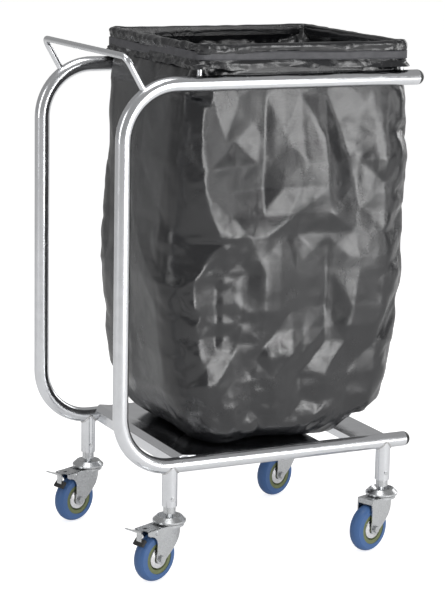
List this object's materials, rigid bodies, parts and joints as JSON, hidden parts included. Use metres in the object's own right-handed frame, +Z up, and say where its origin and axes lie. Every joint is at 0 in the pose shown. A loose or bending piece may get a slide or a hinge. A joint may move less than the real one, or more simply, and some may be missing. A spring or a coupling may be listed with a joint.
{
  "type": "linen trolley",
  "caption": "Wheeled linen trolley: two bent steel side tubes joined by a folded base, with a push handle, a hoop that holds a bag open, and swivel castors.",
  "frame": {"origin": "on the floor, under the middle of the side frames", "axes": "+X from the push handle to the open front ends of the side tubes, +Y to the left of a person pushing, +Z up"},
  "size_m": [0.544, 0.4137, 0.8553],
  "materials": {
    "polished_tube": "polished stainless tube",
    "polished_rod": "polished stainless rod",
    "polished_sheet": "bright rolled stainless sheet",
    "black_plug": "moulded black plastic",
    "zinc_steel": "zinc plated pressed steel",
    "spring_steel": "drawn spring wire",
    "hub_cover": "pressed bright steel",
    "wheel_core": "moulded olive plastic",
    "blue_tyre": "solid blue elastic rubber",
    "pad_rubber": "moulded black rubber",
    "band_rubber": "flat grey rubber band",
    "bag_film": "charcoal plastic film, ribbed and creased"
  },
  "bodies": {
    "chassis": {"bag_hoop": "polished_rod", "base_tray": "polished_sheet", "castor_stem_back_left": "zinc_steel", "castor_stem_back_right": "zinc_steel", "castor_stem_front_left": "zinc_steel", "castor_stem_front_right": "zinc_steel", "end_plugs": "black_plug", "front_bar": "polished_sheet", "hoop_posts": "polished_rod", "leg_screws": "zinc_steel", "legs": "polished_tube", "linen_bag": "bag_film", "push_handle": "polished_rod", "retaining_band": "band_rubber", "side_frame_left": "polished_tube", "side_frame_right": "polished_tube", "top_race_back_left": "zinc_steel", "top_race_back_right": "zinc_steel", "top_race_front_left": "zinc_steel", "top_race_front_right": "zinc_steel"},
    "swivel_back_right": {"castor_fork_back_right": "zinc_steel", "swivel_balls_back_right": "zinc_steel", "axle_bolt_back_right": "zinc_steel", "axle_nut_back_right": "zinc_steel", "axle_sleeve_back_right": "zinc_steel", "brake_rivet_back_right": "zinc_steel", "brake_spring_back_right": "spring_steel"},
    "wheel_back_right": {"wheel_core_back_right": "wheel_core", "tyre_back_right": "blue_tyre", "hub_covers_back_right": "hub_cover"},
    "brake_back_right": {"brake_pedal_back_right": "zinc_steel", "brake_pad_back_right": "pad_rubber"},
    "swivel_back_left": {"castor_fork_back_left": "zinc_steel", "swivel_balls_back_left": "zinc_steel", "axle_bolt_back_left": "zinc_steel", "axle_nut_back_left": "zinc_steel", "axle_sleeve_back_left": "zinc_steel", "brake_rivet_back_left": "zinc_steel", "brake_spring_back_left": "spring_steel"},
    "wheel_back_left": {"wheel_core_back_left": "wheel_core", "tyre_back_left": "blue_tyre", "hub_covers_back_left": "hub_cover"},
    "brake_back_left": {"brake_pedal_back_left": "zinc_steel", "brake_pad_back_left": "pad_rubber"},
    "swivel_front_right": {"castor_fork_front_right": "zinc_steel", "swivel_balls_front_right": "zinc_steel", "axle_bolt_front_right": "zinc_steel", "axle_nut_front_right": "zinc_steel", "axle_sleeve_front_right": "zinc_steel"},
    "wheel_front_right": {"wheel_core_front_right": "wheel_core", "tyre_front_right": "blue_tyre", "hub_covers_front_right": "hub_cover"},
    "swivel_front_left": {"castor_fork_front_left": "zinc_steel", "swivel_balls_front_left": "zinc_steel", "axle_bolt_front_left": "zinc_steel", "axle_nut_front_left": "zinc_steel", "axle_sleeve_front_left": "zinc_steel"},
    "wheel_front_left": {"wheel_core_front_left": "wheel_core", "tyre_front_left": "blue_tyre", "hub_covers_front_left": "hub_cover"}
  },
  "joints": [
    {"name": "swivel_back_right", "type": "hinge", "parent": "chassis", "child": "swivel_back_right", "pos_m": [-0.172, -0.171, 0.091], "axis": [0, 0, 1], "continuous": true},
    {"name": "roll_back_right", "type": "hinge", "parent": "swivel_back_right", "child": "wheel_back_right", "pos_m": [-0.20291, -0.18256, 0.04], "axis": [0.3502, -0.9367, 0], "continuous": true},
    {"name": "brake_back_right", "type": "hinge", "parent": "swivel_back_right", "child": "brake_back_right", "pos_m": [-0.21134, -0.18571, 0.0845], "axis": [0.3502, -0.9367, 0], "range_deg": [0, 4.2]},
    {"name": "swivel_back_left", "type": "hinge", "parent": "chassis", "child": "swivel_back_left", "pos_m": [-0.172, 0.171, 0.091], "axis": [0, 0, 1], "continuous": true},
    {"name": "roll_back_left", "type": "hinge", "parent": "swivel_back_left", "child": "wheel_back_left", "pos_m": [-0.20291, 0.15944, 0.04], "axis": [0.3502, -0.9367, 0], "continuous": true},
    {"name": "brake_back_left", "type": "hinge", "parent": "swivel_back_left", "child": "brake_back_left", "pos_m": [-0.21134, 0.15629, 0.0845], "axis": [0.3502, -0.9367, 0], "range_deg": [0, 4.2]},
    {"name": "swivel_front_right", "type": "hinge", "parent": "chassis", "child": "swivel_front_right", "pos_m": [0.2225, -0.171, 0.091], "axis": [0, 0, 1], "continuous": true},
    {"name": "roll_front_right", "type": "hinge", "parent": "swivel_front_right", "child": "wheel_front_right", "pos_m": [0.19159, -0.18256, 0.04], "axis": [0.3502, -0.9367, 0], "continuous": true},
    {"name": "swivel_front_left", "type": "hinge", "parent": "chassis", "child": "swivel_front_left", "pos_m": [0.2225, 0.171, 0.091], "axis": [0, 0, 1], "continuous": true},
    {"name": "roll_front_left", "type": "hinge", "parent": "swivel_front_left", "child": "wheel_front_left", "pos_m": [0.19159, 0.15944, 0.04], "axis": [0.3502, -0.9367, 0], "continuous": true}
  ]
}
